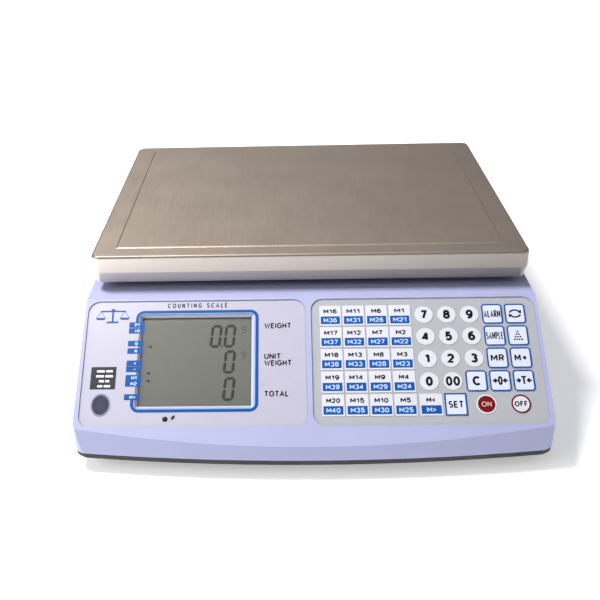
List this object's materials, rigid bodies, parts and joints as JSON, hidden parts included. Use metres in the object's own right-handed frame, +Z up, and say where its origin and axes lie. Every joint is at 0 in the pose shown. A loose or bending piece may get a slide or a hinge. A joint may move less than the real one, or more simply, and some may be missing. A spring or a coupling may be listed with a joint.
{
  "type": "counting scale",
  "caption": "Bench counting scale with a square-cornered steel pan, a sloping console with display and membrane keypad, and levelling feet",
  "frame": {"origin": "middle of the underside, level with the soles of the feet", "axes": "+Z up, the console faces -Y, +X to the right of someone reading the display"},
  "size_m": [0.303, 0.324, 0.1105],
  "materials": {
    "tray_plastic": "moulded, fine grain",
    "housing_plastic": "moulded, satin",
    "display_film": "printed film",
    "clear_film": "clear film",
    "lcd": "liquid crystal cell",
    "white_plastic": "moulded",
    "circuit_board": "solder mask",
    "keypad_film": "printed film",
    "circuit_film": "printed circuit film",
    "ribbon": "flat cable",
    "key_film": "printed film",
    "aluminium": "machined",
    "cast_aluminium": "as cast",
    "stainless": "brushed",
    "rubber": "moulded",
    "battery_case": "moulded",
    "lead": "sleeved",
    "cable": "sleeved",
    "black_plastic": "moulded",
    "vial": "clear, tinted fluid",
    "lamp": "clear dome",
    "zinc": "zinc plated",
    "black_steel": "black oxide",
    "key_on_film": "printed film"
  },
  "bodies": {
    "casing": {"base_tray": "tray_plastic", "upper_housing": "housing_plastic", "case_screws": "zinc", "display_overlay": "display_film", "display_window": "clear_film", "lcd_glass": "lcd", "lcd_frame": "white_plastic", "display_board": "circuit_board", "keypad_overlay": "keypad_film", "keypad_circuit": "circuit_film", "display_ribbon": "ribbon", "memory_keys": "key_film", "main_board": "circuit_board", "board_screws": "zinc", "load_cell": "aluminium", "load_cell_bolts": "black_steel", "overload_stop": "zinc", "load_cell_cable": "cable", "battery": "battery_case", "power_leads": "lead", "dc_jack": "black_plastic", "level_vial": "vial", "charge_led": "lamp"},
    "weigh_platform": {"pan_support": "cast_aluminium", "support_bolts": "black_steel", "pan_cushions": "rubber"},
    "pan": {"pan": "stainless"},
    "battery_door": {"battery_door": "tray_plastic"},
    "foot_pad_fl": {"foot_pad_fl": "rubber"},
    "foot_screw_fl": {"foot_screw_fl": "black_plastic"},
    "foot_pad_fr": {"foot_pad_fr": "rubber"},
    "foot_screw_fr": {"foot_screw_fr": "black_plastic"},
    "foot_pad_rl": {"foot_pad_rl": "rubber"},
    "foot_screw_rl": {"foot_screw_rl": "black_plastic"},
    "foot_pad_rr": {"foot_pad_rr": "rubber"},
    "foot_screw_rr": {"foot_screw_rr": "black_plastic"},
    "key_0": {"key_0": "key_film"},
    "key_1": {"key_1": "key_film"},
    "key_2": {"key_2": "key_film"},
    "key_3": {"key_3": "key_film"},
    "key_4": {"key_4": "key_film"},
    "key_5": {"key_5": "key_film"},
    "key_6": {"key_6": "key_film"},
    "key_7": {"key_7": "key_film"},
    "key_8": {"key_8": "key_film"},
    "key_9": {"key_9": "key_film"},
    "key_00": {"key_00": "key_film"},
    "key_clear": {"key_clear": "key_film"},
    "key_zero": {"key_zero": "key_film"},
    "key_tare": {"key_tare": "key_film"},
    "key_recall": {"key_recall": "key_film"},
    "key_add": {"key_add": "key_film"},
    "key_sample": {"key_sample": "key_film"},
    "key_quantity": {"key_quantity": "key_film"},
    "key_alarm": {"key_alarm": "key_film"},
    "key_swap": {"key_swap": "key_film"},
    "key_set": {"key_set": "key_film"},
    "key_shift": {"key_shift": "key_film"},
    "key_on": {"key_on": "key_on_film"},
    "key_off": {"key_off": "key_film"}
  },
  "joints": [
    {"name": "platform_deflection", "type": "slide", "parent": "casing", "child": "weigh_platform", "axis": [0, 0, -1], "range_m": [0, 0.0004], "stiffness_N_per_m": 700000, "springref_m": -0.00001, "deforming": ["load_cell"]},
    {"name": "pan_lift_off", "type": "slide", "parent": "weigh_platform", "child": "pan", "axis": [0, 0, 1], "range_m": [0, 0.03]},
    {"name": "battery_door_swing", "type": "hinge", "parent": "casing", "child": "battery_door", "pos_m": [0, 0.0821, 0.0097], "axis": [1, 0, 0], "range_deg": [-95, 0]},
    {"name": "foot_height_fl", "type": "slide", "parent": "casing", "child": "foot_pad_fl", "axis": [0, 0, -1], "range_m": [0, 0.0075]},
    {"name": "foot_turn_fl", "type": "hinge", "parent": "foot_pad_fl", "child": "foot_screw_fl", "pos_m": [-0.122, -0.122, 0.006], "axis": [0, 0, -1], "range_deg": [0, 2160]},
    {"name": "foot_height_fr", "type": "slide", "parent": "casing", "child": "foot_pad_fr", "axis": [0, 0, -1], "range_m": [0, 0.0075]},
    {"name": "foot_turn_fr", "type": "hinge", "parent": "foot_pad_fr", "child": "foot_screw_fr", "pos_m": [0.122, -0.122, 0.006], "axis": [0, 0, -1], "range_deg": [0, 2160]},
    {"name": "foot_height_rl", "type": "slide", "parent": "casing", "child": "foot_pad_rl", "axis": [0, 0, -1], "range_m": [0, 0.0075]},
    {"name": "foot_turn_rl", "type": "hinge", "parent": "foot_pad_rl", "child": "foot_screw_rl", "pos_m": [-0.122, 0.132, 0.006], "axis": [0, 0, -1], "range_deg": [0, 2160]},
    {"name": "foot_height_rr", "type": "slide", "parent": "casing", "child": "foot_pad_rr", "axis": [0, 0, -1], "range_m": [0, 0.0075]},
    {"name": "foot_turn_rr", "type": "hinge", "parent": "foot_pad_rr", "child": "foot_screw_rr", "pos_m": [0.122, 0.132, 0.006], "axis": [0, 0, -1], "range_deg": [0, 2160]},
    {"name": "key_0_press", "type": "slide", "parent": "casing", "child": "key_0", "axis": [0, 0.5878, -0.809], "range_m": [0, 0.0004], "stiffness_N_per_m": 2500},
    {"name": "key_1_press", "type": "slide", "parent": "casing", "child": "key_1", "axis": [0, 0.5878, -0.809], "range_m": [0, 0.0004], "stiffness_N_per_m": 2500},
    {"name": "key_2_press", "type": "slide", "parent": "casing", "child": "key_2", "axis": [0, 0.5878, -0.809], "range_m": [0, 0.0004], "stiffness_N_per_m": 2500},
    {"name": "key_3_press", "type": "slide", "parent": "casing", "child": "key_3", "axis": [0, 0.5878, -0.809], "range_m": [0, 0.0004], "stiffness_N_per_m": 2500},
    {"name": "key_4_press", "type": "slide", "parent": "casing", "child": "key_4", "axis": [0, 0.5878, -0.809], "range_m": [0, 0.0004], "stiffness_N_per_m": 2500},
    {"name": "key_5_press", "type": "slide", "parent": "casing", "child": "key_5", "axis": [0, 0.5878, -0.809], "range_m": [0, 0.0004], "stiffness_N_per_m": 2500},
    {"name": "key_6_press", "type": "slide", "parent": "casing", "child": "key_6", "axis": [0, 0.5878, -0.809], "range_m": [0, 0.0004], "stiffness_N_per_m": 2500},
    {"name": "key_7_press", "type": "slide", "parent": "casing", "child": "key_7", "axis": [0, 0.5878, -0.809], "range_m": [0, 0.0004], "stiffness_N_per_m": 2500},
    {"name": "key_8_press", "type": "slide", "parent": "casing", "child": "key_8", "axis": [0, 0.5878, -0.809], "range_m": [0, 0.0004], "stiffness_N_per_m": 2500},
    {"name": "key_9_press", "type": "slide", "parent": "casing", "child": "key_9", "axis": [0, 0.5878, -0.809], "range_m": [0, 0.0004], "stiffness_N_per_m": 2500},
    {"name": "key_00_press", "type": "slide", "parent": "casing", "child": "key_00", "axis": [0, 0.5878, -0.809], "range_m": [0, 0.0004], "stiffness_N_per_m": 2500},
    {"name": "key_clear_press", "type": "slide", "parent": "casing", "child": "key_clear", "axis": [0, 0.5878, -0.809], "range_m": [0, 0.0004], "stiffness_N_per_m": 2500},
    {"name": "key_zero_press", "type": "slide", "parent": "casing", "child": "key_zero", "axis": [0, 0.5878, -0.809], "range_m": [0, 0.0004], "stiffness_N_per_m": 2500},
    {"name": "key_tare_press", "type": "slide", "parent": "casing", "child": "key_tare", "axis": [0, 0.5878, -0.809], "range_m": [0, 0.0004], "stiffness_N_per_m": 2500},
    {"name": "key_recall_press", "type": "slide", "parent": "casing", "child": "key_recall", "axis": [0, 0.5878, -0.809], "range_m": [0, 0.0004], "stiffness_N_per_m": 2500},
    {"name": "key_add_press", "type": "slide", "parent": "casing", "child": "key_add", "axis": [0, 0.5878, -0.809], "range_m": [0, 0.0004], "stiffness_N_per_m": 2500},
    {"name": "key_sample_press", "type": "slide", "parent": "casing", "child": "key_sample", "axis": [0, 0.5878, -0.809], "range_m": [0, 0.0004], "stiffness_N_per_m": 2500},
    {"name": "key_quantity_press", "type": "slide", "parent": "casing", "child": "key_quantity", "axis": [0, 0.5878, -0.809], "range_m": [0, 0.0004], "stiffness_N_per_m": 2500},
    {"name": "key_alarm_press", "type": "slide", "parent": "casing", "child": "key_alarm", "axis": [0, 0.5878, -0.809], "range_m": [0, 0.0004], "stiffness_N_per_m": 2500},
    {"name": "key_swap_press", "type": "slide", "parent": "casing", "child": "key_swap", "axis": [0, 0.5878, -0.809], "range_m": [0, 0.0004], "stiffness_N_per_m": 2500},
    {"name": "key_set_press", "type": "slide", "parent": "casing", "child": "key_set", "axis": [0, 0.5878, -0.809], "range_m": [0, 0.0004], "stiffness_N_per_m": 2500},
    {"name": "key_shift_press", "type": "slide", "parent": "casing", "child": "key_shift", "axis": [0, 0.5878, -0.809], "range_m": [0, 0.0004], "stiffness_N_per_m": 2500},
    {"name": "key_on_press", "type": "slide", "parent": "casing", "child": "key_on", "axis": [0, 0.5878, -0.809], "range_m": [0, 0.0004], "stiffness_N_per_m": 2500},
    {"name": "key_off_press", "type": "slide", "parent": "casing", "child": "key_off", "axis": [0, 0.5878, -0.809], "range_m": [0, 0.0004], "stiffness_N_per_m": 2500}
  ],
  "couplings": [
    {"joint": "foot_turn_fl", "follows": "foot_height_fl", "rad_per_m": 5026.5},
    {"joint": "foot_turn_fr", "follows": "foot_height_fr", "rad_per_m": 5026.5},
    {"joint": "foot_turn_rl", "follows": "foot_height_rl", "rad_per_m": 5026.5},
    {"joint": "foot_turn_rr", "follows": "foot_height_rr", "rad_per_m": 5026.5}
  ]
}
